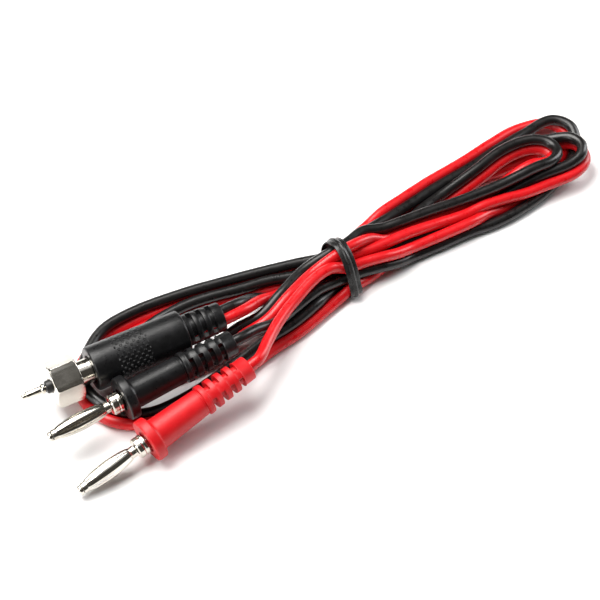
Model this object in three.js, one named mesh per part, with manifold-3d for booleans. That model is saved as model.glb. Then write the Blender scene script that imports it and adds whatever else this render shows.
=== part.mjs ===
import * as THREE from 'three';
import { mergeVertices } from 'three/addons/utils/BufferGeometryUtils.js';
import Module from 'manifold-3d';

// Lengths in millimetres, +Z up, the set lies on z = 0.

// Footprint centre of the layout below, taken off every point.
const LAYOUT_CENTRE = [0.239, 1.64, -0.03];

// Twin cord
const CORE_RADIUS = 1.3;
const CORE_SIDES = 8;
const PAIR_PITCH = 2.9;

// Banana plugs: the pin and collar run forward of the flange face, the sleeve runs back from it
const PIN_LENGTH = 20.2;
const SPRING_BULGE_RADIUS = 2.2;
const SPRING_WALL = 0.35;
const COLLAR_RADIUS = 2.65;
const COLLAR_LENGTH = 3.2;
const COLLAR_RECESS = 0.5;
const FLANGE_RADIUS = 5.6;
const FLANGE_THICKNESS = 2.6;
const BODY_LENGTH = 14.2;
const PLUG_LENGTH = 31.2;
const RELIEF_RIB_PITCH = 2.75;
const RELIEF_SLOT = 1.3;
const SPINE_WIDTH = 2.4;
const PLUG_BORE = 2.35;
const CORE_BORE = 1.75;

// Glow plug adaptor
const HEX_FLATS = 10.6;
const HEX_LENGTH = 7.2;
const SHOULDER_RADIUS = 3.15;
const SHOULDER_LENGTH = 3.6;
const SLEEVE_RADIUS = 5.65;
const SLEEVE_LENGTH = 25.0;
const SLEEVE_TOTAL = 35.4;

// Wire tie
const TIE_X = 2.8;
const TIE_WIDTH = 3.4;
const TIE_THICKNESS = 0.55;

// Where each plug stands: front face centre, direction to its tip, roll about its axis in degrees
const RED_PLUG = { front: [-64.4, -18.6, 5.6], aim: [-19.5, -2.7, -3.2], roll: -31 };
const BLACK_PLUG = { front: [-64.8, -6.9, 9.2], aim: [-20.3, -0.6, -1.2], roll: 4 };
const ADAPTOR = { front: [-66.9, 5.4, 8.9], aim: [-18.5, 0.8, -0.3], roll: -30 };

// The pair's route from the tie through three loops and back to the adaptor: x, y, z of the middle
// and the lean of the red core, in degrees from the left of travel turning up.
const PAIR_ROUTE = [
  [4.5, 2.8, 6.1, 74], [9, 2.8, 5.7, 78], [14, 2.0, 5.6, 76], [19, 2.0, 4.3, 76], [24, 2.8, 3.0, 78],
  [32, 2.6, 3.0, 78], [42, 2.6, 2.9, 78], [48, 3.0, 2.1, 30], [54, 3.3, 1.6, 2], [66, 5.5, 1.5, 0],
  [75, 9.6, 1.5, 0], [81, 13.8, 1.8, -18], [84, 19.2, 2.7, -65], [81.5, 24.2, 2.9, -115],
  [72, 24.7, 3.4, -168], [62, 22.9, 4.2, -174], [52, 20.9, 4.3, -178], [40, 19.4, 4.2, -178],
  [32, 17.9, 4.2, -178], [24, 16.4, 4.2, -172], [19, 15.2, 4.0, -146], [14, 13.9, 4.0, -128],
  [9, 12.0, 3.5, -78], [4.5, 10.1, 3.65, -59], [-5, 12.6, 3.3, -63], [-14, 14.7, 3.1, -60],
  [-24, 16.8, 2.9, -65], [-34, 18.5, 2.9, -67], [-48, 19.5, 2.9, -67], [-57, 18.4, 2.8, -75],
  [-64, 14.6, 2.8, -110], [-69.2, 8.5, 2.7, -122], [-69.8, 2.5, 2.7, -124], [-68.0, -3.2, 2.4, -140],
  [-64, -7.4, 1.6, -170], [-58, -10.0, 1.5, 180], [-47, -10.0, 1.6, 180], [-35, -8.2, 2.2, -150],
  [-23.5, -5.4, 2.5, -138], [-14, -3.7, 2.5, -132], [-6, -1.2, 2.5, -132], [0, 1.1, 1.9, -172],
  [4.5, 2.3, 2.35, 180], [9, 3.2, 1.6, 180], [14, 4.4, 1.5, 180], [19, 6.0, 1.5, -179],
  [24, 8.8, 2.2, -150], [32, 12.2, 2.8, -121], [40, 14.3, 2.8, -119], [52, 15.9, 4.9, -121],
  [60.5, 17.6, 5.9, -118], [66, 17.9, 6.1, -112], [70.4, 16.9, 6.3, -107], [73.0, 15.0, 6.2, -103],
  [74.0, 12.4, 6.1, -102], [72.8, 10.0, 6.6, -116], [69.8, 8.7, 7.4, -136], [65.0, 8.8, 8.1, -150],
  [54, 8.8, 6.1, -121],
  [42, 9.1, 5.3, -94],
  [32, 9.2, 6.2, -86], [24, 9.1, 6.8, -80], [19, 9.1, 6.9, -56], [14, 9.7, 8.5, -5],
  [9, 8.5, 9.4, 27], [4.5, 7.8, 9.6, 31], [-5, 6.8, 7.9, 17], [-14, 3.0, 7.8, 25],
  [-21, 0.7, 5.9, 20], [-28, 0.6, 4.6, 6], [-36, -0.4, 2.6, 2], [-46, -0.6, 1.5, 0],
  [-52.6, 0.7, 1.5, 0], [-56.8, 2.7, 1.5, 0], [-59.0, 6.6, 1.5, 0], [-58.4, 10.5, 1.5, -4],
  [-55.4, 13.4, 1.7, -14], [-50.0, 15.0, 2.1, -34], [-44, 15.5, 2.7, -60],
  [-34, 15.1, 2.9, -95], [-20, 12.6, 2.9, -104], [-14, 11.6, 2.9, -108], [-5, 9.0, 2.9, -107],
  [4.5, 7.4, 3.5, -121], [9, 8.2, 2.8, -125], [14, 10.2, 1.9, -166], [19, 12.2, 1.6, -174],
  [24, 14.4, 1.5, 180], [32, 16.1, 1.5, 180], [40, 17.9, 1.5, 180], [52, 18.6, 1.5, 180],
  [62, 18.0, 1.5, 180], [67, 18.0, 2.0, -155], [72.0, 17.9, 2.9, -112], [76.9, 16.0, 4.7, -86],
  [80.4, 12.9, 6.1, -80], [81.2, 9.3, 6.4, -74], [79.4, 6.1, 6.3, -64], [75.2, 4.6, 5.8, -45],
  [66, 5.3, 5.1, -26], [60, 5.7, 4.5, 2], [54, 6.3, 3.9, 38], [48, 6.5, 3.6, 60],
  [42, 6.2, 3.0, 80], [32, 5.9, 4.5, 88], [24, 5.8, 5.6, 92],
  [14, 5.7, 5.8, 90], [9, 6.0, 6.0, 96], [4.5, 5.7, 6.1, 104], [-5, 5.8, 3.9, 106],
  [-14, 7.5, 3.0, 56], [-20, 6.9, 5.8, 25], [-26, 4.3, 9.1, 5], [-32, 3.9, 9.4, 0], [-44, 4.4, 9.3, 0],
];
// Each core on its own, from inside its plug to the tie.
const RED_TAIL = [
  [-48.8, -16.4, 8.2], [-34, -14.4, 10.6], [-30.6, -13.6, 11.0], [-25.6, -9.2, 10.0],
  [-20, -4.9, 9.7], [-14, -1.3, 9.5], [-5, 2.6, 10.0], [0, 3.5, 9.8],
];
const BLACK_TAIL = [
  [-48.8, -6.4, 10.1], [-34, -6.0, 11.0], [-30.9, -5.8, 11.1], [-26.5, -4.6, 9.9],
  [-20, -3.3, 7.4], [-14, -0.9, 6.1], [-5, 1.7, 6.0], [0, 2.3, 5.3],
];

const wasm = await Module();
wasm.setup();

function solid(geometry) {
  const clean = geometry.clone();
  clean.deleteAttribute('normal');
  clean.deleteAttribute('uv');
  const merged = mergeVertices(clean, 1e-4);
  return new wasm.Manifold(new wasm.Mesh({
    numProp: 3,
    vertProperties: new Float32Array(merged.attributes.position.array),
    triVerts: new Uint32Array(merged.index.array),
  }));
}

function shell(body) {
  const mesh = body.getMesh();
  const geometry = new THREE.BufferGeometry();
  geometry.setAttribute('position', new THREE.BufferAttribute(new Float32Array(mesh.vertProperties), 3));
  geometry.setIndex(new THREE.BufferAttribute(new Uint32Array(mesh.triVerts), 1));
  return geometry;
}

// A turned piece about +Y from [radius, y] pairs, y rising, both ends on the axis.
function turned(profile, sides = 20) {
  const points = profile.map(([r, y]) => new THREE.Vector2(r, y));
  return new THREE.LatheGeometry(points, sides);
}

function rod(radius, low, high, sides = 16) {
  return turned([[0, low], [radius, low], [radius, high], [0, high]], sides);
}

function block(x, y, z, cx, cy, cz) {
  const geometry = new THREE.BoxGeometry(x, y, z);
  geometry.translate(cx, cy, cz);
  return geometry;
}

function less(base, ...cuts) {
  let body = solid(base);
  for (const cut of cuts) {
    body = body.subtract(solid(cut));
  }
  return shell(body);
}

// Moves a piece built along +Y, with its front at y = 0, to its plug's place.
function stand(geometry, place) {
  const along = new THREE.Vector3(...place.aim).normalize();
  const side = new THREE.Vector3().crossVectors(along, new THREE.Vector3(0, 0, 1)).normalize();
  const up = new THREE.Vector3().crossVectors(side, along);
  const turn = new THREE.Matrix4().makeRotationY(THREE.MathUtils.degToRad(place.roll));
  const frame = new THREE.Matrix4().makeBasis(side, along, up);
  frame.setPosition(
    place.front[0] - LAYOUT_CENTRE[0],
    place.front[1] - LAYOUT_CENTRE[1],
    place.front[2] - LAYOUT_CENTRE[2],
  );
  return geometry.clone().applyMatrix4(turn).applyMatrix4(frame);
}

const set = new THREE.Group();
set.name = 'balance_charger_lead';

function add(name, geometry, colour, roughness, metalness) {
  const material = new THREE.MeshStandardMaterial({ color: colour, roughness, metalness });
  material.name = name;
  const mesh = new THREE.Mesh(geometry, material);
  mesh.name = name;
  set.add(mesh);
}

const NICKEL = [0xb9b6b0, 0.22, 1.0];
const COPPER = [0xb8733c, 0.4, 1.0];
const RED_PVC = [0xc4141c, 0.45, 0.0];
const BLACK_PVC = [0x1b1b1d, 0.55, 0.0];

// Solid pin: rivet head, core through the lantern spring, collar, and the cup the wire is soldered in.
function plugPin() {
  const head = PIN_LENGTH;
  const collar = COLLAR_LENGTH;
  const body = turned([
    [0, -12], [1.95, -12], [1.95, 0.2], [COLLAR_RADIUS - 0.3, 0.35], [COLLAR_RADIUS, 0.7],
    [COLLAR_RADIUS, collar - 0.3], [COLLAR_RADIUS - 0.3, collar], [0.7, collar], [0.7, head - 1.0],
    [1.0, head - 0.9], [1.0, head - 0.4], [0.6, head], [0, head],
  ], 20);
  const flat = 0.35;
  const reach = COLLAR_RADIUS - flat;
  const cuts = [1, -1].map((s) => block(1.2, 1.4, 6, s * (reach + 0.6), 1.6, 0));
  return less(body, rod(1.15, -13, -5, 12), ...cuts);
}

// Four bowed leaves between two rings.
function lanternSpring() {
  const low = COLLAR_LENGTH + 0.25;
  const high = PIN_LENGTH - 1.25;
  const span = high - low;
  const outer = [];
  const inner = [];
  const rings = 10;
  for (let i = 0; i <= rings; i += 1) {
    const t = i / rings;
    const bow = Math.sin(Math.PI * t) ** 0.8;
    const radius = 1.3 + (SPRING_BULGE_RADIUS - 1.3) * bow;
    outer.push([radius, low + span * t]);
    inner.push([radius - SPRING_WALL, low + span * t]);
  }
  const points = [...outer, ...inner.reverse(), outer[0]].map(([r, y]) => new THREE.Vector2(r, y));
  const cage = new THREE.LatheGeometry(points, 20);
  const slot = span - 3.0;
  const middle = low + span / 2;
  return less(cage, block(6, slot, 0.5, 0, middle, 0), block(0.5, slot, 6, 0, middle, 0));
}

// Flange, grip and slotted strain relief in one soft moulding, with one spine above and one below.
function plugSleeve(front, back) {
  const end = -PLUG_LENGTH;
  const neck = -FLANGE_THICKNESS - BODY_LENGTH;
  const body = turned([
    [0, end], [2.9, end], [3.2, end + 0.4], [3.2, end + 3.2], [3.4, end + 3.4], [3.75, neck - 1.0],
    [3.95, neck - 0.6], [3.95, neck], [back, neck], [front, -FLANGE_THICKNESS - 0.4],
    [front + 0.4, -FLANGE_THICKNESS], [FLANGE_RADIUS - 0.35, -FLANGE_THICKNESS],
    [FLANGE_RADIUS, -FLANGE_THICKNESS + 0.35], [FLANGE_RADIUS, -0.35], [FLANGE_RADIUS - 0.35, 0], [0, 0],
  ], 28);
  const cuts = [
    rod(PLUG_BORE, -14.5, 1, 20),
    rod(COLLAR_RADIUS + 0.2, -COLLAR_RECESS, 1, 24),
    rod(CORE_BORE, end - 1, -14, 16),
  ];
  for (let i = 0; i < 4; i += 1) {
    const y = neck - 2.2 - i * RELIEF_RIB_PITCH;
    for (const s of [1, -1]) {
      const inside = 2.35;
      cuts.push(block(3, RELIEF_SLOT, 9, s * (inside + 1.5), y, 0));
      const reach = (inside - SPINE_WIDTH / 2) / 2 + SPINE_WIDTH / 2;
      cuts.push(block(inside - SPINE_WIDTH / 2 + 0.2, RELIEF_SLOT, 3, s * reach, y, inside + 1.5));
      cuts.push(block(inside - SPINE_WIDTH / 2 + 0.2, RELIEF_SLOT, 3, s * reach, y, -inside - 1.5));
    }
  }
  return less(body, ...cuts);
}

function plugWire() {
  return rod(0.85, -15.7, -5.4, 10);
}

for (const [name, place, colour, front, back] of [
  ['red', RED_PLUG, RED_PVC, 4.0, 3.5],
  ['black', BLACK_PLUG, BLACK_PVC, 3.7, 3.45],
]) {
  add(`${name}_plug_pin`, stand(plugPin(), place), ...NICKEL);
  add(`${name}_plug_lantern_spring`, stand(lanternSpring(), place), ...NICKEL);
  add(`${name}_plug_sleeve`, stand(plugSleeve(front, back), place), ...colour);
  add(`${name}_plug_conductor`, stand(plugWire(), place), ...COPPER);
}

// Adaptor: threaded hex body with an insulated centre post, in a soft black sleeve.
const hexFront = SHOULDER_LENGTH + HEX_LENGTH;
const tip = 18.5;

function adaptorHex() {
  const corner = HEX_FLATS / Math.sqrt(3);
  const hex = new THREE.CylinderGeometry(corner, corner, HEX_LENGTH, 6);
  hex.translate(0, SHOULDER_LENGTH + HEX_LENGTH / 2, 0);
  const chamfer = turned([
    [0, SHOULDER_LENGTH], [corner - 0.5, SHOULDER_LENGTH], [corner + 0.1, SHOULDER_LENGTH + 0.5],
    [corner + 0.1, hexFront - 0.5], [corner - 0.5, hexFront], [0, hexFront],
  ], 24);
  const barrel = rod(SHOULDER_RADIUS, -13, SHOULDER_LENGTH + 1, 24);
  const body = solid(hex).intersect(solid(chamfer)).add(solid(barrel));
  return shell(body.subtract(solid(rod(1.95, -14, hexFront + 1, 20))));
}

const bushBore = rod(0.9, -20, 20, 16);
const frontBush = turned([
  [0, 6], [1.65, 6], [1.65, hexFront + 0.9], [1.45, hexFront + 1.2], [0, hexFront + 1.2],
], 20);
const rearBush = turned([
  [0, -14.8], [2.9, -14.8], [2.9, -13.3], [1.65, -13.3], [1.65, -8], [0, -8],
], 20);
const post = turned([
  [0, -21], [0.6, -21], [0.6, hexFront + 1.6], [1.1, hexFront + 1.8], [1.1, hexFront + 2.5],
  [0.82, hexFront + 2.7], [0.82, tip - 1.3], [0.5, tip - 1.0], [0.7, tip - 0.6], [0.4, tip], [0, tip],
], 16);
const nut = new THREE.CylinderGeometry(1.9, 1.9, 1.4, 6);
nut.translate(0, -16.0, 0);
const centreTag = less(
  block(3.0, 0.4, 2.4, 0, -17.2, 0),
  rod(0.9, -18, -16, 12),
);
const groundTag = less(
  rod(4.1, -12.2, -11.8, 24),
  rod(SHOULDER_RADIUS + 0.3, -13, -11, 24),
);

function adaptorSleeve() {
  const end = -SLEEVE_TOTAL;
  const neck = -SLEEVE_LENGTH;
  const body = turned([
    [0, end], [3.5, end], [3.75, end + 0.4], [3.75, end + 2.6], [4.1, neck - 0.8], [4.1, neck],
    [SLEEVE_RADIUS - 0.6, neck], [SLEEVE_RADIUS - 0.1, neck + 0.5], [SLEEVE_RADIUS, -0.4],
    [SLEEVE_RADIUS - 0.4, 0], [0, 0],
  ], 32);
  const exit = rod(3.3, end - 1, -20, 20);
  exit.scale(1, 1, 0.66);
  exit.rotateY(-THREE.MathUtils.degToRad(ADAPTOR.roll));
  const cuts = [rod(SHOULDER_RADIUS + 0.25, -11, 1, 24), rod(4.5, -22, -8.2, 24), exit];
  for (let i = 0; i < 3; i += 1) {
    const y = neck - 2.0 - i * 2.6;
    for (const s of [1, -1]) {
      cuts.push(block(9, 1.2, 2, 0, y, s * 3.6));
    }
  }
  return less(body, ...cuts);
}

for (const [name, geometry, look] of [
  ['adaptor_centre_post', post, NICKEL],
  ['adaptor_front_bush', less(frontBush, bushBore), BLACK_PVC],
  ['adaptor_hex_body', adaptorHex(), NICKEL],
  ['adaptor_rear_bush', less(rearBush, bushBore), BLACK_PVC],
  ['adaptor_post_nut', less(nut, bushBore), NICKEL],
  ['adaptor_centre_tag', centreTag, NICKEL],
  ['adaptor_ground_tag', groundTag, NICKEL],
  ['adaptor_sleeve', adaptorSleeve(), BLACK_PVC],
]) {
  add(name, stand(geometry, ADAPTOR), ...look);
}

// A curve through its points, evenly stepped from point to point instead of by length.
class StationCurve extends THREE.CatmullRomCurve3 {
  getPointAt(u, target) {
    return this.getPoint(u, target);
  }

  getTangentAt(u, target) {
    return this.getTangent(u, target);
  }
}

// One core's stations: its tail, then its side of the pair.
function coreStations(tail, side) {
  const middle = PAIR_ROUTE.map(([x, y, z]) => new THREE.Vector3(x, y, z));
  const stations = tail.map((p) => new THREE.Vector3(...p));
  for (let i = 0; i < middle.length; i += 1) {
    const before = middle[Math.max(i - 1, 0)];
    const after = middle[Math.min(i + 1, middle.length - 1)];
    const travel = after.clone().sub(before).normalize();
    const left = new THREE.Vector3(0, 0, 1).cross(travel).normalize();
    const up = travel.clone().cross(left);
    const lean = THREE.MathUtils.degToRad(PAIR_ROUTE[i][3]);
    const out = left.multiplyScalar(Math.cos(lean)).addScaledVector(up, Math.sin(lean));
    stations.push(middle[i].clone().addScaledVector(out, side * PAIR_PITCH / 2));
  }
  return stations.map((p) => p.sub(new THREE.Vector3(...LAYOUT_CENTRE)));
}

function coreTube(stations) {
  const ring = [];
  for (let i = 0; i < CORE_SIDES; i += 1) {
    const a = (2 * Math.PI * i) / CORE_SIDES;
    ring.push(new THREE.Vector2(CORE_RADIUS * Math.cos(a), CORE_RADIUS * Math.sin(a)));
  }
  return new THREE.ExtrudeGeometry(new THREE.Shape(ring), {
    steps: stations.length - 1,
    extrudePath: new StationCurve(stations, false, 'centripetal'),
  });
}

add('cord_red_core', coreTube(coreStations(RED_TAIL, 1)), ...RED_PVC);
add('cord_black_core', coreTube(coreStations(BLACK_TAIL, -1)), ...BLACK_PVC);

// Flat wire tie standing round the bundle: inner outline in y and z.
const TIE_OUTLINE = [
  [0.2, 0.76], [5.2, 0.68], [9.9, 0.76], [12.3, 2.4], [13.2, 5.2], [12.4, 8.2], [10.2, 11.2],
  [6.8, 12.7], [3.4, 11.4], [1.0, 8.6], [-0.6, 5.2], [-1.6, 2.5],
];

function tieBand() {
  const points = TIE_OUTLINE.map(([y, z]) => new THREE.Vector3(y, z, 0));
  const curve = new THREE.CatmullRomCurve3(points, true, 'centripetal');
  const inner = [];
  const outer = [];
  const count = 36;
  for (let i = 0; i < count; i += 1) {
    const p = curve.getPoint(i / count);
    const t = curve.getTangent(i / count);
    inner.push(new THREE.Vector2(p.x, p.y));
    outer.push(new THREE.Vector2(p.x + t.y * TIE_THICKNESS, p.y - t.x * TIE_THICKNESS));
  }
  const shape = new THREE.Shape(outer);
  shape.holes.push(new THREE.Path(inner));
  const band = new THREE.ExtrudeGeometry(shape, { depth: TIE_WIDTH, bevelEnabled: false });
  const turn = new THREE.Matrix4().makeBasis(
    new THREE.Vector3(0, 1, 0),
    new THREE.Vector3(0, 0, 1),
    new THREE.Vector3(1, 0, 0),
  );
  band.applyMatrix4(turn);
  band.translate(TIE_X - LAYOUT_CENTRE[0], -LAYOUT_CENTRE[1], -LAYOUT_CENTRE[2]);
  return band;
}

add('wire_tie', tieBand(), 0x161616, 0.5, 0.0);

export default set;
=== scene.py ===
import math

import bmesh
import bpy
from mathutils import Matrix, Vector


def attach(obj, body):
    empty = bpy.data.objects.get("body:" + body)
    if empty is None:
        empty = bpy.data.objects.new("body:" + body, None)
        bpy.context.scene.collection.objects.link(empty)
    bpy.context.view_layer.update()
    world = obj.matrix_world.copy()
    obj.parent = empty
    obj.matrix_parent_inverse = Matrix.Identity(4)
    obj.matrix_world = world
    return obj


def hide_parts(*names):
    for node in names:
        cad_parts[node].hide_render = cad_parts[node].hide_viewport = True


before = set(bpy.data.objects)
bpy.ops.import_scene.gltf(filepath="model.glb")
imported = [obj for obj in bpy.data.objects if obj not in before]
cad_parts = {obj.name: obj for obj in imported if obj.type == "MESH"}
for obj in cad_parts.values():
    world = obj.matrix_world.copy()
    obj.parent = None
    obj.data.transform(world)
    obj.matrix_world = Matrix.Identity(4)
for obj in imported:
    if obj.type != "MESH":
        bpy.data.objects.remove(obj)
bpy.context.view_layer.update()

MM = 0.001
LAYOUT_CENTRE = Vector((0.239, 1.64, -0.03))

# Twin cord, millimetres, and each core's whole length in metres
CORE_DIAMETER = 2.9
PAIR_PITCH = 2.9
RED_LENGTH = 0.905
BLACK_LENGTH = 0.890
STEPS_PER_STATION = 8

# Turned pieces: steps in a quarter round, and the radius in place of a point on the axis, millimetres
ROUND_STEPS = 6
LEAST_RADIUS = 0.02

# Banana plugs, millimetres: pieces are built with the flange face at y = 0 and the tip at +y
PIN_LENGTH = 20.2
COLLAR_LENGTH = 3.2
COLLAR_RADIUS = 2.65
FLANGE_THICKNESS = 2.6
FLANGE_RADIUS = 5.6
BODY_LENGTH = 14.2
PLUG_LENGTH = 31.2
RIB_PITCH = 2.75
FIRST_RIB = 2.2
FIRST_RIB_RADIUS = 3.9
RIB_TAPER = 0.13
RIBS = 4
RELIEF_SLOT = 1.3
SPINE_HALF_WIDTH = 1.2
RELIEF_CORE = 2.35
# The radius at which a spine has its width, and the angle from its edge to the rib, in radians
SPINE_RADIUS = 3.6
SPINE_STEP = 0.012
SLOT_AT_NECK = 0.22
SLOT_AT_BULGE = 0.75
LEAF_THICKNESS = 0.28
LEAVES = 4
PIN_CORE_RADIUS = 0.72
SPRING_NECK = 1.45
SPRING_BULGE = 2.3

# Adaptor, millimetres: built with the sleeve's front at y = 0 and the tip at +y
HEX_FLATS = 10.6
HEX_LENGTH = 7.2
SHOULDER_RADIUS = 3.15
SHOULDER_LENGTH = 3.6
ADAPTOR_TIP = 18.5
SLEEVE_RADIUS = 5.65
SLEEVE_LENGTH = 25.0
SLEEVE_TOTAL = 35.4
ADAPTOR_RIBS = 3
ADAPTOR_RIB_PITCH = 2.6
ADAPTOR_FIRST_RIB = 2.0
ADAPTOR_RIB_RADIUS = 4.1
ADAPTOR_RIB_TAPER = 0.1
POST_CORE_RADIUS = 0.6
POST_RADIUS = 0.98
BUSH_RADIUS = 1.65
HEX_BORE = 1.95
BARREL_BACK = -12.9

# The adaptor's dotted grip, metres: its band along Y and the fade at each end. The dots repeat with the
# sine of STIPPLE_AROUND times the angle, and of STIPPLE_ALONG times the distance.
GRIP_BAND = (-0.0145, -0.0065)
STIPPLE_FADE = 0.0003
STIPPLE_AROUND = 21.0
STIPPLE_ALONG = 3700.0

# Front face centre, direction to the tip, roll about the axis in degrees, and a grip's front and back radii
RED_PLUG = {"front": (-64.4, -18.6, 5.6), "aim": (-19.5, -2.7, -3.2), "roll": -31, "grip": (4.0, 3.5)}
BLACK_PLUG = {"front": (-64.8, -6.9, 9.2), "aim": (-20.3, -0.6, -1.2), "roll": 4, "grip": (3.7, 3.45)}
ADAPTOR = {"front": (-66.9, 5.4, 8.9), "aim": (-18.5, 0.8, -0.3), "roll": -30}

# The pair's route from the tie through three loops and back to the adaptor: x, y, z of the middle
# and the lean of the red core, in degrees from the left of travel turning up.
PAIR_ROUTE = [
    (4.5, 2.8, 6.1, 74), (9, 2.8, 5.7, 78), (14, 2.0, 5.6, 76), (19, 2.0, 4.3, 76), (24, 2.8, 3.0, 78),
    (32, 2.6, 3.0, 78), (42, 2.6, 2.9, 78), (48, 3.0, 2.1, 30), (54, 3.3, 1.6, 2), (66, 5.5, 1.5, 0),
    (75, 9.6, 1.5, 0), (81, 13.8, 1.8, -18), (84, 19.2, 2.7, -65), (81.5, 24.2, 2.9, -115),
    (72, 24.7, 3.4, -168), (62, 22.9, 4.2, -174), (52, 20.9, 4.3, -178), (40, 19.4, 4.2, -178),
    (32, 17.9, 4.2, -178), (24, 16.4, 4.2, -172), (19, 15.2, 4.0, -146), (14, 13.9, 4.0, -128),
    (9, 12.0, 3.5, -78), (4.5, 10.1, 3.65, -59), (-5, 12.6, 3.3, -63), (-14, 14.7, 3.1, -60),
    (-24, 16.8, 2.9, -65), (-34, 18.5, 2.9, -67), (-48, 19.5, 2.9, -67), (-57, 18.4, 2.8, -75),
    (-64, 14.6, 2.8, -110), (-69.2, 8.5, 2.7, -122), (-69.8, 2.5, 2.7, -124), (-68.0, -3.2, 2.4, -140),
    (-64, -7.4, 1.6, -170), (-58, -10.0, 1.5, 180), (-47, -10.0, 1.6, 180), (-35, -8.2, 2.2, -150),
    (-23.5, -5.4, 2.5, -138), (-14, -3.7, 2.5, -132), (-6, -1.2, 2.5, -132), (0, 1.1, 1.9, -172),
    (4.5, 2.3, 2.35, 180), (9, 3.2, 1.6, 180), (14, 4.4, 1.5, 180), (19, 6.0, 1.5, -179),
    (24, 8.8, 2.2, -150), (32, 12.2, 2.8, -121), (40, 14.3, 2.8, -119), (52, 15.9, 4.9, -121),
    (60.5, 17.6, 5.9, -118), (66, 17.9, 6.1, -112), (70.4, 16.9, 6.3, -107), (73.0, 15.0, 6.2, -103),
    (74.0, 12.4, 6.1, -102), (72.8, 10.0, 6.6, -116), (69.8, 8.7, 7.4, -136), (65.0, 8.8, 8.1, -150),
    (54, 8.8, 6.1, -121), (42, 9.1, 5.3, -94), (32, 9.2, 6.2, -86), (24, 9.1, 6.8, -80),
    (19, 9.1, 6.9, -56), (14, 9.7, 8.5, -5),
    (9, 8.5, 9.4, 27), (4.5, 7.8, 9.6, 31), (-5, 6.8, 7.9, 17), (-14, 3.0, 7.8, 25),
    (-21, 0.7, 5.9, 20), (-28, 0.6, 4.6, 6), (-36, -0.4, 2.6, 2), (-46, -0.6, 1.5, 0),
    (-52.6, 0.7, 1.5, 0), (-56.8, 2.7, 1.5, 0), (-59.0, 6.6, 1.5, 0), (-58.4, 10.5, 1.5, -4),
    (-55.4, 13.4, 1.7, -14), (-50.0, 15.0, 2.1, -34), (-44, 15.5, 2.7, -60),
    (-34, 15.1, 2.9, -95), (-20, 12.6, 2.9, -104), (-14, 11.6, 2.9, -108), (-5, 9.0, 2.9, -107),
    (4.5, 7.4, 3.5, -121), (9, 8.2, 2.8, -125), (14, 10.2, 1.9, -166), (19, 12.2, 1.6, -174),
    (24, 14.4, 1.5, 180), (32, 16.1, 1.5, 180), (40, 17.9, 1.5, 180), (52, 18.6, 1.5, 180),
    (62, 18.0, 1.5, 180), (67, 18.0, 2.0, -155), (72.0, 17.9, 2.9, -112), (76.9, 16.0, 4.7, -86),
    (80.4, 12.9, 6.1, -80), (81.2, 9.3, 6.4, -74), (79.4, 6.1, 6.3, -64), (75.2, 4.6, 5.8, -45),
    (66, 5.3, 5.1, -26), (60, 5.7, 4.5, 2), (54, 6.3, 3.9, 38), (48, 6.5, 3.6, 60),
    (42, 6.2, 3.0, 80), (32, 5.9, 4.5, 88), (24, 5.8, 5.6, 92),
    (14, 5.7, 5.8, 90), (9, 6.0, 6.0, 96), (4.5, 5.7, 6.1, 104), (-5, 5.8, 3.9, 106),
    (-14, 7.5, 3.0, 56), (-20, 6.9, 5.8, 25), (-26, 4.3, 9.1, 5), (-32, 3.9, 9.4, 0), (-44, 4.4, 9.3, 0),
]
# Each core on its own, from inside its plug to the tie.
RED_TAIL = [
    (-48.8, -16.4, 8.2), (-34, -14.4, 10.6), (-30.6, -13.6, 11.0), (-25.6, -9.2, 10.0),
    (-20, -4.9, 9.7), (-14, -1.3, 9.5), (-5, 2.6, 10.0), (0, 3.5, 9.8),
]
BLACK_TAIL = [
    (-48.8, -6.4, 10.1), (-34, -6.0, 11.0), (-30.9, -5.8, 11.1), (-26.5, -4.6, 9.9),
    (-20, -3.3, 7.4), (-14, -0.9, 6.1), (-5, 1.7, 6.0), (0, 2.3, 5.3),
]
# The wire tie's inner outline, y and z.
TIE_OUTLINE = [
    (0.2, 0.76), (5.2, 0.68), (9.9, 0.76), (12.3, 2.4), (13.2, 5.2), (12.4, 8.2), (10.2, 11.2),
    (6.8, 12.7), (3.4, 11.4), (1.0, 8.6), (-0.6, 5.2), (-1.6, 2.5),
]
TIE_MIDDLE = 4.5
TIE_WIDTH = 3.4
TIE_THICKNESS = 0.5


# ---------------------------------------------------------------- camera, light and floor

CAMERA_AZIMUTH = -30.0
CAMERA_ELEVATION = 50.0
CAMERA_DISTANCE = 0.560
CAMERA_TARGET = Vector((-8.0, 5.5, 0.0)) - LAYOUT_CENTRE
CAMERA_LENS = 131.5
SENSOR_WIDTH = 36.0
CLIP_RANGE = (0.01, 20.0)
FLOOR_GAP = 0.0001
FLOOR_HALF = 0.9
SKY_EDGE = (0.955, 0.99)
SKY_DARK = (0.07, 0.066, 0.060, 1)
SKY_BRIGHT = (0.95, 0.95, 0.96, 1)
BACKDROP = (0.86, 0.86, 0.87, 1)


def make_camera():
    data = bpy.data.cameras.new("camera")
    data.sensor_width = SENSOR_WIDTH
    data.lens = CAMERA_LENS
    camera = bpy.data.objects.new("camera", data)
    bpy.context.scene.collection.objects.link(camera)
    a, e = math.radians(CAMERA_AZIMUTH), math.radians(CAMERA_ELEVATION)
    back = Vector((math.sin(a) * math.cos(e), -math.cos(a) * math.cos(e), math.sin(e)))
    camera.location = CAMERA_TARGET * MM + back * CAMERA_DISTANCE
    camera.rotation_euler = (-back).to_track_quat("-Z", "Y").to_euler()
    data.clip_start, data.clip_end = CLIP_RANGE
    bpy.context.scene.camera = camera


def area_light(name, place, size, power, colour=(1, 1, 1)):
    data = bpy.data.lights.new(name, "AREA")
    data.shape = "RECTANGLE"
    data.size, data.size_y = size
    data.energy = power
    data.color = colour
    light = bpy.data.objects.new(name, data)
    bpy.context.scene.collection.objects.link(light)
    light.location = place
    light.rotation_euler = (-Vector(place)).to_track_quat("-Z", "Y").to_euler()


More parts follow.
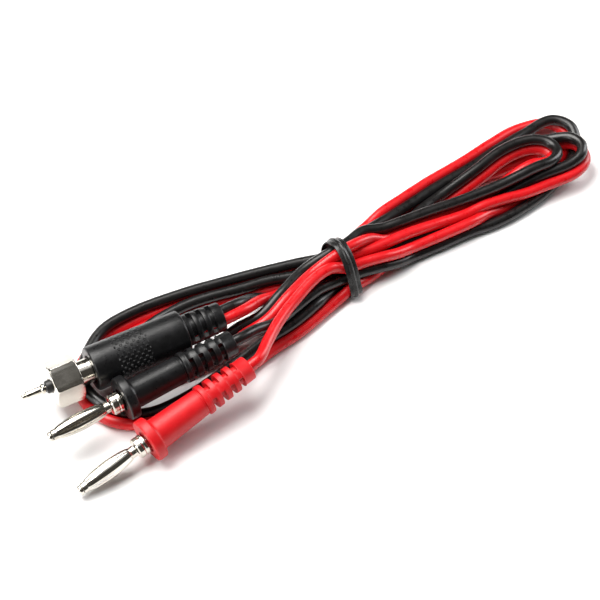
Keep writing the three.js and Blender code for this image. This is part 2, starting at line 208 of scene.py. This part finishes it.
def make_lights():
    area_light("key", (-0.22, 0.30, 0.75), (0.75, 0.60), 14.5, (1.0, 0.985, 0.96))
    area_light("fill", (0.78, 0.02, 0.36), (0.35, 0.60), 4.6, (0.97, 0.98, 1.0))
    area_light("strip", (-0.60, -0.05, 0.22), (0.08, 0.50), 1.6)
    bpy.context.scene.view_settings.view_transform = "Standard"


def make_world():
    """A dark room with a bright patch overhead, and a pale backdrop where the camera sees past the floor."""
    world = bpy.data.worlds.new("studio")
    world.use_nodes = True
    nodes, links = world.node_tree.nodes, world.node_tree.links
    ramp = nodes.new("ShaderNodeValToRGB")
    ramp.color_ramp.elements[0].position = SKY_EDGE[0]
    ramp.color_ramp.elements[0].color = SKY_DARK
    ramp.color_ramp.elements[1].position = SKY_EDGE[1]
    ramp.color_ramp.elements[1].color = SKY_BRIGHT
    where = nodes.new("ShaderNodeTexCoord")
    split = nodes.new("ShaderNodeSeparateXYZ")
    lift = nodes.new("ShaderNodeMapRange")
    lift.inputs["From Min"].default_value = -1.0
    links.new(where.outputs["Generated"], split.inputs[0])
    links.new(split.outputs["Z"], lift.inputs["Value"])
    links.new(lift.outputs[0], ramp.inputs[0])
    links.new(ramp.outputs[0], nodes["Background"].inputs["Color"])
    nodes["Background"].inputs["Strength"].default_value = 1.0
    backdrop = nodes.new("ShaderNodeBackground")
    backdrop.inputs["Color"].default_value = BACKDROP
    seen = nodes.new("ShaderNodeLightPath").outputs["Is Camera Ray"]
    mix = nodes.new("ShaderNodeMixShader")
    links.new(seen, mix.inputs[0])
    links.new(nodes["Background"].outputs[0], mix.inputs[1])
    links.new(backdrop.outputs[0], mix.inputs[2])
    links.new(mix.outputs[0], nodes["World Output"].inputs["Surface"])
    bpy.context.scene.world = world


# ---------------------------------------------------------------- materials

class Look:
    """A Principled material whose inputs are fed by procedural textures in object space."""

    def __init__(self, name, colour, roughness, metallic=0.0, **extra):
        self.material = bpy.data.materials.new(name)
        self.material.use_nodes = True
        self.tree = self.material.node_tree
        self.shader = self.tree.nodes["Principled BSDF"]
        self.shader.inputs["Metallic"].default_value = metallic
        for key, value in extra.items():
            self.shader.inputs[key.replace("_", " ")].default_value = value
        self.where = self.node("ShaderNodeTexCoord").outputs["Object"]
        self.colour(colour, colour)
        self.shader.inputs["Roughness"].default_value = roughness
        self.height = None

    def node(self, kind, **values):
        made = self.tree.nodes.new(kind)
        for key, value in values.items():
            if isinstance(value, bpy.types.NodeSocket):
                self.tree.links.new(value, made.inputs[key])
            else:
                made.inputs[key].default_value = value
        return made

    def link(self, a, b):
        self.tree.links.new(a, b)

    def noise(self, scale, detail=4.0, stretch=(1, 1, 1), roughness=0.55):
        at = self.node("ShaderNodeMapping", Vector=self.where, Scale=stretch).outputs[0]
        made = self.node("ShaderNodeTexNoise", Vector=at, Scale=scale, Detail=detail, Roughness=roughness)
        return made.outputs["Fac"]

    def range(self, source, low, high, start=0.3, end=0.7):
        made = self.node("ShaderNodeMapRange", Value=source)
        made.inputs["From Min"].default_value = start
        made.inputs["From Max"].default_value = end
        made.inputs["To Min"].default_value = low
        made.inputs["To Max"].default_value = high
        return made.outputs[0]

    def colour(self, low, high, source=None):
        if source is None:
            self.shader.inputs["Base Color"].default_value = (*low, 1)
            return
        mix = self.node("ShaderNodeMix")
        mix.data_type = "RGBA"
        self.link(source, mix.inputs[0])
        mix.inputs[6].default_value = (*low, 1)
        mix.inputs[7].default_value = (*high, 1)
        self.link(mix.outputs[2], self.shader.inputs["Base Color"])

    def rough(self, source, low, high):
        self.link(self.range(source, low, high), self.shader.inputs["Roughness"])

    def bump(self, source, depth, strength=0.5):
        made = self.node("ShaderNodeBump", Height=source, Distance=depth, Strength=strength)
        if self.height is not None:
            self.link(self.height, made.inputs["Normal"])
        self.height = made.outputs["Normal"]
        self.link(self.height, self.shader.inputs["Normal"])


def nickel_look():
    look = Look("nickel_plate", (0.78, 0.76, 0.72), 0.2, 1.0)
    stain = look.noise(160.0, 5.0)
    look.colour((0.56, 0.53, 0.47), (0.72, 0.69, 0.63), look.range(stain, 0, 1))
    look.rough(look.noise(900.0, 6.0, (1, 0.25, 1)), 0.08, 0.2)
    look.bump(look.noise(2600.0, 3.0, (1, 14.0, 1)), 0.00002, 0.35)
    look.bump(look.noise(300.0, 2.0), 0.00004, 0.2)
    return look.material


def moulded_look(name, dark, light, low, high):
    look = Look(name, dark, low, 0.0, Specular_IOR_Level=0.38)
    cloud = look.noise(220.0, 5.0)
    look.colour(dark, light, look.range(cloud, 0, 1))
    look.rough(look.noise(1300.0, 6.0), low, high)
    look.bump(look.noise(4200.0, 4.0), 0.00003, 0.5)
    look.bump(look.noise(420.0, 2.0), 0.00006, 0.25)
    return look


def stipple(look, low, high):
    """Raised dots in staggered rows between two distances along the piece's own Y axis."""
    split = look.node("ShaderNodeSeparateXYZ", Vector=look.where)

    def math_node(operation, first, second=None):
        made = look.node("ShaderNodeMath")
        made.operation = operation
        for socket, value in zip(made.inputs, (first, second)):
            if isinstance(value, float):
                socket.default_value = value
            elif value is not None:
                look.link(value, socket)
        return made.outputs[0]

    around = math_node("ARCTAN2", split.outputs["X"], split.outputs["Z"])
    rows = math_node("SINE", math_node("MULTIPLY", around, STIPPLE_AROUND))
    columns = math_node("SINE", math_node("MULTIPLY", split.outputs["Y"], STIPPLE_ALONG))
    dots = look.range(math_node("MULTIPLY", rows, columns), 0.0, 1.0, 0.25, 0.75)
    after = look.range(split.outputs["Y"], 0.0, 1.0, low - STIPPLE_FADE, low)
    before = look.range(split.outputs["Y"], 1.0, 0.0, high, high + STIPPLE_FADE)
    raised = math_node("MULTIPLY", math_node("MULTIPLY", after, before), dots)
    look.bump(raised, 0.00035, 1.0)


def cord_look(name, dark, light):
    look = Look(name, dark, 0.3, 0.0, Specular_IOR_Level=0.4, Coat_Weight=0.12, Coat_Roughness=0.22)
    look.colour(dark, light, look.range(look.noise(90.0, 4.0), 0, 1))
    look.rough(look.noise(700.0, 5.0), 0.24, 0.42)
    look.bump(look.noise(260.0, 3.0), 0.00005, 0.2)
    look.bump(look.noise(2400.0, 3.0), 0.00002, 0.4)
    return look.material


def copper_look():
    look = Look("bare_copper", (0.72, 0.38, 0.2), 0.35, 1.0)
    look.colour((0.55, 0.27, 0.13), (0.8, 0.45, 0.26), look.range(look.noise(400.0), 0, 1))
    look.bump(look.noise(1500.0, 2.0, (3, 0.3, 3)), 0.0001, 0.6)
    return look.material


def floor_look():
    look = Look("pale_table", (0.86, 0.86, 0.86), 0.6, 0.0)
    look.colour((0.85, 0.85, 0.855), (0.88, 0.88, 0.88), look.range(look.noise(6.0), 0, 1))
    look.bump(look.noise(900.0, 3.0), 0.00002, 0.2)
    return look.material


# ---------------------------------------------------------------- mesh helpers, millimetres

def piece(name, rings, look, capped, smooth_angle, bevel=0.0):
    """A piece lofted through rings of (x, y, z) points: capped at both ends, or closed on itself."""
    mesh = bpy.data.meshes.new(name)
    build = bmesh.new()
    rows = [[build.verts.new(Vector(p) * MM) for p in ring] for ring in rings]
    count = len(rings[0])
    spans = list(zip(rows, rows[1:]))
    if not capped:
        spans.append((rows[-1], rows[0]))
    for a, b in spans:
        for i in range(count):
            j = (i + 1) % count
            build.faces.new((a[i], a[j], b[j], b[i]))
    if capped:
        build.faces.new(list(reversed(rows[0])))
        build.faces.new(rows[-1])
    bmesh.ops.remove_doubles(build, verts=build.verts, dist=1e-7)
    bmesh.ops.recalc_face_normals(build, faces=build.faces)
    build.to_mesh(mesh)
    build.free()
    return finish_mesh(name, mesh, look, smooth_angle, bevel)


def finish_mesh(name, mesh, look, smooth_angle, bevel):
    made = bpy.data.objects.new(name, mesh)
    bpy.context.scene.collection.objects.link(made)
    mesh.materials.append(look)
    mesh.polygons.foreach_set("use_smooth", [True] * len(mesh.polygons))
    mesh.set_sharp_from_angle(angle=math.radians(smooth_angle))
    if bevel:
        rounder = made.modifiers.new("rounded_edges", "BEVEL")
        rounder.width = bevel * MM
        rounder.segments = 3
        rounder.limit_method = "ANGLE"
        rounder.angle_limit = math.radians(smooth_angle)
    return made


def circle(radius, y, count):
    step = 2 * math.pi / count
    return [(radius * math.cos(i * step), y, radius * math.sin(i * step)) for i in range(count)]


def turned(name, profile, look, count, bevel):
    """A turned piece about Y from (radius, y) pairs that start and end near the axis."""
    rings = [circle(max(r, LEAST_RADIUS), y, count) for r, y in profile]
    return piece(name, rings, look, True, 35.0, bevel)


def join(name, parts):
    """One new piece from several, with their modifiers applied."""
    graph = bpy.context.evaluated_depsgraph_get()
    build = bmesh.new()
    for part in parts:
        graph.update()
        baked = bpy.data.meshes.new_from_object(part.evaluated_get(graph))
        build.from_mesh(baked)
        bpy.data.meshes.remove(baked)
    mesh = bpy.data.meshes.new(name)
    build.to_mesh(mesh)
    build.free()
    look = parts[0].data.materials[0]
    for part in parts:
        bpy.data.objects.remove(part)
    made = bpy.data.objects.new(name, mesh)
    bpy.context.scene.collection.objects.link(made)
    mesh.materials.append(look)
    return made


def stand(obj, place):
    """Puts a piece built along +Y, front face at y = 0, in the place of its plug or the adaptor."""
    along = Vector(place["aim"]).normalized()
    side = along.cross(Vector((0, 0, 1))).normalized()
    up = side.cross(along)
    axes = Matrix((side, along, up)).transposed().to_4x4()
    move = Matrix.Translation((Vector(place["front"]) - LAYOUT_CENTRE) * MM)
    obj.matrix_world = move @ axes @ Matrix.Rotation(math.radians(place["roll"]), 4, "Y")
    return obj


# ---------------------------------------------------------------- banana plugs

def plug_pin(name, look):
    """Collar, core and rivet head, and the solder cup behind the flange."""
    profile = [
        (0, -11.9), (1.9, -11.9), (1.95, 0.2), (2.3, 0.3), (COLLAR_RADIUS, 0.55), (COLLAR_RADIUS, 1.25),
        (COLLAR_RADIUS - 0.12, 1.4), (COLLAR_RADIUS - 0.12, 1.6), (COLLAR_RADIUS, 1.75),
        (COLLAR_RADIUS, COLLAR_LENGTH - 0.35), (COLLAR_RADIUS - 0.3, COLLAR_LENGTH - 0.05),
        (1.5, COLLAR_LENGTH), (PIN_CORE_RADIUS, COLLAR_LENGTH), (PIN_CORE_RADIUS, PIN_LENGTH - 1.2),
        (1.22, PIN_LENGTH - 1.1), (1.3, PIN_LENGTH - 0.8), (1.26, PIN_LENGTH - 0.5),
        (1.05, PIN_LENGTH - 0.22), (0.68, PIN_LENGTH - 0.05), (0, PIN_LENGTH),
    ]
    return turned(name, profile, look, 64, 0.05)


def spring_leaf(look, number, low, high):
    """One bowed strip of the lantern spring, with rounded long edges."""
    rings = []
    steps = 40
    across = 8
    for i in range(steps + 1):
        t = i / steps
        y = low + (high - low) * t
        bow = math.sin(math.pi * t) ** 0.62
        radius = SPRING_NECK + (SPRING_BULGE - SPRING_NECK) * bow
        half = math.pi / LEAVES - (SLOT_AT_NECK + (SLOT_AT_BULGE - SLOT_AT_NECK) * bow) / 2 / radius
        outer = []
        inner = []
        for k in range(across + 1):
            u = -1 + 2 * k / across
            a = number * 2 * math.pi / LEAVES + half * u
            edge = 0.5 * LEAF_THICKNESS * (1 - (1 - abs(u) ** 6) ** 0.5)
            outer.append(((radius - edge) * math.cos(a), y, (radius - edge) * math.sin(a)))
            depth = radius - LEAF_THICKNESS + edge
            inner.append((depth * math.cos(a), y, depth * math.sin(a)))
        rings.append(outer + inner[::-1])
    return piece(f"leaf_{number}", rings, look, True, 50.0)


def spring_ring(look, label, low, high):
    inner = SPRING_NECK - LEAF_THICKNESS
    profile = [(inner, low), (SPRING_NECK, low), (SPRING_NECK, high), (inner, high)]
    return piece(f"ring_{label}", [circle(r, y, 48) for r, y in profile], look, False, 35.0, 0.05)


def lantern_spring(name, look):
    low = COLLAR_LENGTH + 0.25
    high = PIN_LENGTH - 1.25
    parts = [spring_ring(look, "back", low, low + 1.6), spring_ring(look, "front", high - 1.4, high)]
    parts += [spring_leaf(look, n, low + 1.2, high - 1.1) for n in range(LEAVES)]
    return join(name, parts)


def relief_angles():
    """(angle at the rib, angle at the core, on the spine) round one section: spines above and below."""
    rib_edge = math.asin(SPINE_HALF_WIDTH / SPINE_RADIUS)
    core_edge = math.asin(SPINE_HALF_WIDTH / RELIEF_CORE)
    spine_steps = 8
    gap_steps = 18
    found = []
    for centre in (math.pi / 2, 3 * math.pi / 2):
        for k in range(spine_steps + 1):
            a = centre - rib_edge + 2 * rib_edge * k / spine_steps
            found.append((a, a, True))
        for k in range(gap_steps + 1):
            t = k / gap_steps
            rib = centre + rib_edge + SPINE_STEP + (math.pi - 2 * rib_edge - 2 * SPINE_STEP) * t
            core = centre + core_edge + (math.pi - 2 * core_edge) * t
            found.append((rib, core, False))
    return found


def relief_ring(radius, y, cut):
    ring = []
    for rib, core, spine in relief_angles():
        r, a = (RELIEF_CORE, core) if cut and not spine else (radius, rib)
        ring.append((r * math.cos(a), y, r * math.sin(a)))
    return ring


def plug_sleeve(name, look, front, back):
    """Flange, grip and slotted strain relief, from the cord end forward."""
    end = -PLUG_LENGTH
    neck = -FLANGE_THICKNESS - BODY_LENGTH
    rings = [relief_ring(1.55, end + 0.5, False), relief_ring(1.6, end, False)]
    rings += [relief_ring(r, end + d, False) for r, d in ((2.85, 0), (3.08, 0.12), (3.2, 0.4), (3.2, 2.9))]
    edge = RELIEF_SLOT / 2
    for i in reversed(range(RIBS)):
        y = neck - FIRST_RIB - i * RIB_PITCH
        radius = FIRST_RIB_RADIUS - RIB_TAPER * i
        rings += [
            relief_ring(radius - 0.12, y - edge - 0.12, False),
            relief_ring(radius - 0.16, y - edge, False),
            relief_ring(radius - 0.16, y - edge, True),
            relief_ring(radius - 0.1, y + edge, True),
            relief_ring(radius - 0.1, y + edge, False),
            relief_ring(radius, y + edge + 0.12, False),
        ]
    profile = [
        (3.82, neck - 1.2), (3.95, neck - 1.05), (3.95, neck - 0.25), (3.82, neck - 0.1), (3.5, neck - 0.05),
        (back - 0.25, neck), (back - 0.25, neck + 0.3), (back, neck + 0.42), (back + 0.05, neck + 0.8),
    ]
    steps = 10
    for i in range(1, steps + 1):
        t = i / steps
        y = neck + 0.8 + (BODY_LENGTH - 1.6) * t
        profile.append((back + 0.05 + (front - back) * t, y))
    fillet = 0.8
    for i in range(1, ROUND_STEPS + 1):
        a = math.pi / 2 * i / ROUND_STEPS
        y = -FLANGE_THICKNESS - fillet + fillet * math.sin(a)
        profile.append((front + 0.05 + fillet * (1 - math.cos(a)), y))
    rim = 0.5
    for centre, start in ((-FLANGE_THICKNESS + rim, -math.pi / 2), (-rim, 0.0)):
        for i in range(ROUND_STEPS + 1):
            a = start + math.pi / 2 * i / ROUND_STEPS
            profile.append((FLANGE_RADIUS - rim + rim * math.cos(a), centre + rim * math.sin(a)))
    profile += [(2.9, 0.0), (2.82, -0.08), (2.82, -0.5), (2.3, -0.52)]
    rings += [relief_ring(r, y, False) for r, y in profile]
    return piece(name, rings, look, True, 38.0, 0.06)


def make_plug(colour, place, sleeve_look, nickel):
    pin = stand(plug_pin(f"{colour}_pin", nickel), place)
    spring = stand(lantern_spring(f"{colour}_lantern_spring", nickel), place)
    sleeve = stand(plug_sleeve(f"{colour}_sleeve", sleeve_look, *place["grip"]), place)
    for obj, node, body, slot in (
        (pin, "pin", "lead", "nickel"),
        (spring, "lantern_spring", f"{colour}_spring", "nickel"),
        (sleeve, "sleeve", f"{colour}_sleeve", f"{colour}_pvc"),
    ):
        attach(obj, body)
        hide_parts(f"{colour}_plug_{node}")
    return [pin, spring, sleeve]


# ---------------------------------------------------------------- glow plug adaptor

def hex_body(look):
    """Hexagon with turned chamfers in front of a plain round shoulder and hidden barrel."""
    count = 96
    corner = HEX_FLATS / math.sqrt(3)
    top = SHOULDER_LENGTH + HEX_LENGTH

    def ring(limit, y):
        points = []
        for i in range(count):
            a = 2 * math.pi * i / count
            side = (a + math.pi / 6) % (math.pi / 3) - math.pi / 6
            radius = min(HEX_FLATS / 2 / math.cos(side), limit)
            points.append((radius * math.sin(a), y, radius * math.cos(a)))
        return points

    stations = [
        (HEX_BORE, BARREL_BACK), (3.0, BARREL_BACK), (3.1, -12.7), (SHOULDER_RADIUS, -12.5),
        (SHOULDER_RADIUS, 0.0), (SHOULDER_RADIUS, SHOULDER_LENGTH - 0.35),
        (SHOULDER_RADIUS - 0.18, SHOULDER_LENGTH - 0.25),
        (SHOULDER_RADIUS - 0.18, SHOULDER_LENGTH), (corner - 1.0, SHOULDER_LENGTH),
        (corner - 0.7, SHOULDER_LENGTH + 0.1), (corner - 0.35, SHOULDER_LENGTH + 0.32),
        (corner + 0.1, SHOULDER_LENGTH + 0.65), (corner + 0.1, top - 0.65), (corner - 0.35, top - 0.32),
        (corner - 0.7, top - 0.1), (corner - 1.0, top), (2.1, top), (HEX_BORE, top - 0.1),
        (HEX_BORE, top - 1.5),
    ]
    return piece("hex_body", [ring(r, y) for r, y in stations], look, True, 24.0, 0.06)


def centre_post(look):
    front = SHOULDER_LENGTH + HEX_LENGTH
    ball = 0.68
    profile = [
        (0, -20.9), (POST_CORE_RADIUS, -20.9), (POST_CORE_RADIUS, front + 1.4), (1.1, front + 1.45),
        (1.35, front + 1.65), (1.35, front + 2.2), (1.15, front + 2.45), (POST_RADIUS, front + 2.6),
        (POST_RADIUS, ADAPTOR_TIP - 1.5), (0.85, ADAPTOR_TIP - 1.3), (0.5, ADAPTOR_TIP - 1.22),
    ]
    for i in range(1, 10):
        a = math.pi * (0.2 + 0.8 * i / 9)
        profile.append((ball * math.sin(a), ADAPTOR_TIP - ball - ball * math.cos(a)))
    return turned("centre_post", profile, look, 40, 0.04)


def front_bush(look):
    top = SHOULDER_LENGTH + HEX_LENGTH
    profile = [
        (0.85, 6.0), (BUSH_RADIUS, 6.0), (BUSH_RADIUS, top + 0.85), (1.6, top + 1.05),
        (1.45, top + 1.18), (0.85, top + 1.2),
    ]
    return piece("front_bush", [circle(r, y, 48) for r, y in profile], look, False, 35.0, 0.05)


def adaptor_sleeve(look):
    """Plain soft tube with a rounded front, stepping down to a three-slot strain relief."""
    end = -SLEEVE_TOTAL
    neck = -SLEEVE_LENGTH
    half = 0.6
    core = 2.9
    count = 96
    open_angle = math.radians(62.0)

    def ring(radius, y, cut=False):
        points = []
        for i in range(count):
            a = 2 * math.pi * i / count
            from_top = abs((a % math.pi) - math.pi / 2)
            r = core if cut and from_top < open_angle else radius
            points.append((r * math.cos(a), y, r * math.sin(a)))
        return points

    cord_end = ((2.3, 1.0), (2.9, 0.0), (3.3, 0.0), (3.62, 0.1), (3.75, 0.4))
    rings = [ring(radius, end + along) for radius, along in cord_end]
    rings.append(ring(3.75, neck - 7.9))
    for i in reversed(range(ADAPTOR_RIBS)):
        y = neck - ADAPTOR_FIRST_RIB - i * ADAPTOR_RIB_PITCH
        radius = ADAPTOR_RIB_RADIUS - ADAPTOR_RIB_TAPER * i
        rings += [
            ring(radius, y - half - 0.1),
            ring(radius - 0.06, y - half),
            ring(radius, y - half, True),
            ring(radius, y + half, True),
            ring(radius - 0.06, y + half),
            ring(radius, y + half + 0.1),
        ]
    shoulder = 0.7
    rings += [ring(4.12, neck - 0.15), ring(4.3, neck)]
    for i in range(ROUND_STEPS + 1):
        a = math.pi / 2 * i / ROUND_STEPS
        y = neck + shoulder - shoulder * math.cos(a)
        rings.append(ring(SLEEVE_RADIUS - shoulder + shoulder * math.sin(a), y))
    for i in range(1, 9):
        rings.append(ring(SLEEVE_RADIUS, neck + shoulder + (SLEEVE_LENGTH - 1.2) * i / 8))
    lip = 0.5
    for i in range(1, ROUND_STEPS + 1):
        a = math.pi / 2 * i / ROUND_STEPS
        rings.append(ring(SLEEVE_RADIUS - lip + lip * math.cos(a), -lip + lip * math.sin(a)))
    rings += [ring(3.65, 0.0), ring(3.45, -0.2), ring(3.4, -4.0)]
    return piece("adaptor_soft_sleeve", rings, look, True, 38.0, 0.05)


def make_adaptor(nickel, insulator, sleeve_look):
    for obj, node, body, slot in (
        (hex_body(nickel), "adaptor_hex_body", "lead", "nickel"),
        (centre_post(nickel), "adaptor_centre_post", "lead", "nickel"),
        (front_bush(insulator), "adaptor_front_bush", "lead", "insulator"),
        (adaptor_sleeve(sleeve_look), "adaptor_sleeve", "adaptor_sleeve", "black_pvc"),
    ):
        stand(obj, ADAPTOR)
        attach(obj, body)
        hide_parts(node)


# ---------------------------------------------------------------- cord

def stations(tail, side):
    """One core's stations: its tail, then its side of the pair."""
    middle = [Vector(p[:3]) for p in PAIR_ROUTE]
    found = [Vector(p) for p in tail]
    for i, point in enumerate(middle):
        travel = (middle[min(i + 1, len(middle) - 1)] - middle[max(i - 1, 0)]).normalized()
        left = Vector((0, 0, 1)).cross(travel).normalized()
        up = travel.cross(left)
        lean = math.radians(PAIR_ROUTE[i][3])
        out = left * math.cos(lean) + up * math.sin(lean)
        found.append(point + out * (side * PAIR_PITCH / 2))
    return [(p - LAYOUT_CENTRE) * MM for p in found]


def smooth_line(points, per):
    """Centripetal Catmull-Rom line through the points."""
    line = []
    for i in range(len(points) - 1):
        b, c = points[i], points[i + 1]
        a = points[i - 1] if i else b * 2 - c
        d = points[i + 2] if i + 2 < len(points) else c * 2 - b
        ta, tb, tc = [max((q - p).length ** 0.5, 1e-6) for p, q in ((a, b), (b, c), (c, d))]
        m1 = ((b - a) / ta - (c - a) / (ta + tb) + (c - b) / tb) * tb
        m2 = ((c - b) / tb - (d - b) / (tb + tc) + (d - c) / tc) * tb
        for k in range(per):
            t = k / per
            line.append(
                b + m1 * t + (3 * (c - b) - 2 * m1 - m2) * t * t + (2 * (b - c) + m1 + m2) * t ** 3
            )
    return line + [points[-1]]


def make_core(name, tail, side, look):
    data = bpy.data.curves.new(name, "CURVE")
    data.dimensions = "3D"
    data.bevel_depth = CORE_DIAMETER / 2 * MM
    data.bevel_resolution = 5
    data.use_fill_caps = True
    line = smooth_line(list(reversed(stations(tail, side))), STEPS_PER_STATION)
    spline = data.splines.new("POLY")
    spline.points.add(len(line) - 1)
    for point, place in zip(spline.points, line):
        point.co = (*place, 1)
    spline.use_smooth = True
    made = bpy.data.objects.new(name, data)
    bpy.context.scene.collection.objects.link(made)
    data.materials.append(look)
    return made


def make_cord(red_look, black_look):
    cores = []
    for name, tail, side, look, length in (
        ("red_core", RED_TAIL, 1, red_look, RED_LENGTH),
        ("black_core", BLACK_TAIL, -1, black_look, BLACK_LENGTH),
    ):
        core = make_core(name, tail, side, look)
        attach(core, "lead")
        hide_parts(f"cord_{name}")
        colour = name.split("_")[0]
        cores.append((core, colour, length))
    return cores


# ---------------------------------------------------------------- wire tie

def make_tie(look):
    outline = [Vector((0, y, z)) for y, z in TIE_OUTLINE]
    line = smooth_line(outline[-2:] + outline + outline[:3], STEPS_PER_STATION)
    line = line[2 * STEPS_PER_STATION:(2 + len(outline)) * STEPS_PER_STATION]
    count = len(line)
    half = TIE_WIDTH / 2
    section = [
        (-half, 0.0), (-half, 0.22), (-half + 0.15, 0.32), (-0.62, 0.34), (-0.4, TIE_THICKNESS + 0.12),
        (0.0, TIE_THICKNESS + 0.28), (0.4, TIE_THICKNESS + 0.12), (0.62, 0.34), (half - 0.15, 0.32),
        (half, 0.22), (half, 0.0),
    ]
    rings = []
    for i, place in enumerate(line):
        tangent = (line[(i + 1) % count] - line[i - 1]).normalized()
        out = Vector((0, tangent.z, -tangent.y))
        rings.append([
            tuple(place - LAYOUT_CENTRE + Vector((TIE_MIDDLE + x, 0, 0)) + out * h) for x, h in section
        ])
    made = piece("tie_band", rings, look, False, 40.0, 0.04)
    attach(made, "lead")
    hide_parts("wire_tie")


# ---------------------------------------------------------------- the scene

def make_floor():
    mesh = bpy.data.meshes.new("table_top")
    build = bmesh.new()
    bmesh.ops.create_grid(build, x_segments=1, y_segments=1, size=FLOOR_HALF)
    build.to_mesh(mesh)
    build.free()
    floor = bpy.data.objects.new("table_top", mesh)
    bpy.context.scene.collection.objects.link(floor)
    floor.location.z = -FLOOR_GAP
    mesh.materials.append(floor_look())


make_camera()
nickel = nickel_look()
copper = copper_look()
red_moulded = moulded_look("red_moulded_pvc", (0.50, 0.004, 0.007), (0.60, 0.008, 0.012), 0.36, 0.5).material
black_pvc = ((0.003, 0.003, 0.0033), (0.007, 0.007, 0.0078), 0.26, 0.42)
black_moulded = moulded_look("black_moulded_pvc", *black_pvc).material
grip = moulded_look("black_grip_pvc", *black_pvc)
stipple(grip, *GRIP_BAND)
insulator = moulded_look("insulator", (0.012, 0.012, 0.012), (0.02, 0.02, 0.02), 0.3, 0.45).material
tie_look = moulded_look("tie_plastic", (0.008, 0.008, 0.008), (0.014, 0.014, 0.014), 0.22, 0.36).material

cores = make_cord(
    cord_look("red_cord_pvc", (0.52, 0.004, 0.007), (0.62, 0.007, 0.011)),
    cord_look("black_cord_pvc", (0.004, 0.0035, 0.0035), (0.008, 0.0072, 0.0072)),
)
plugs = {
    "red": make_plug("red", RED_PLUG, red_moulded, nickel),
    "black": make_plug("black", BLACK_PLUG, black_moulded, nickel),
}
make_adaptor(nickel, insulator, grip.material)
make_tie(tie_look)

for node, look in (
    ("red_plug_conductor", copper), ("black_plug_conductor", copper), ("adaptor_rear_bush", insulator),
    ("adaptor_post_nut", nickel), ("adaptor_centre_tag", nickel), ("adaptor_ground_tag", nickel),
):
    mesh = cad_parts[node].data
    mesh.materials.clear()
    mesh.materials.append(look)

make_floor()
make_lights()
make_world()
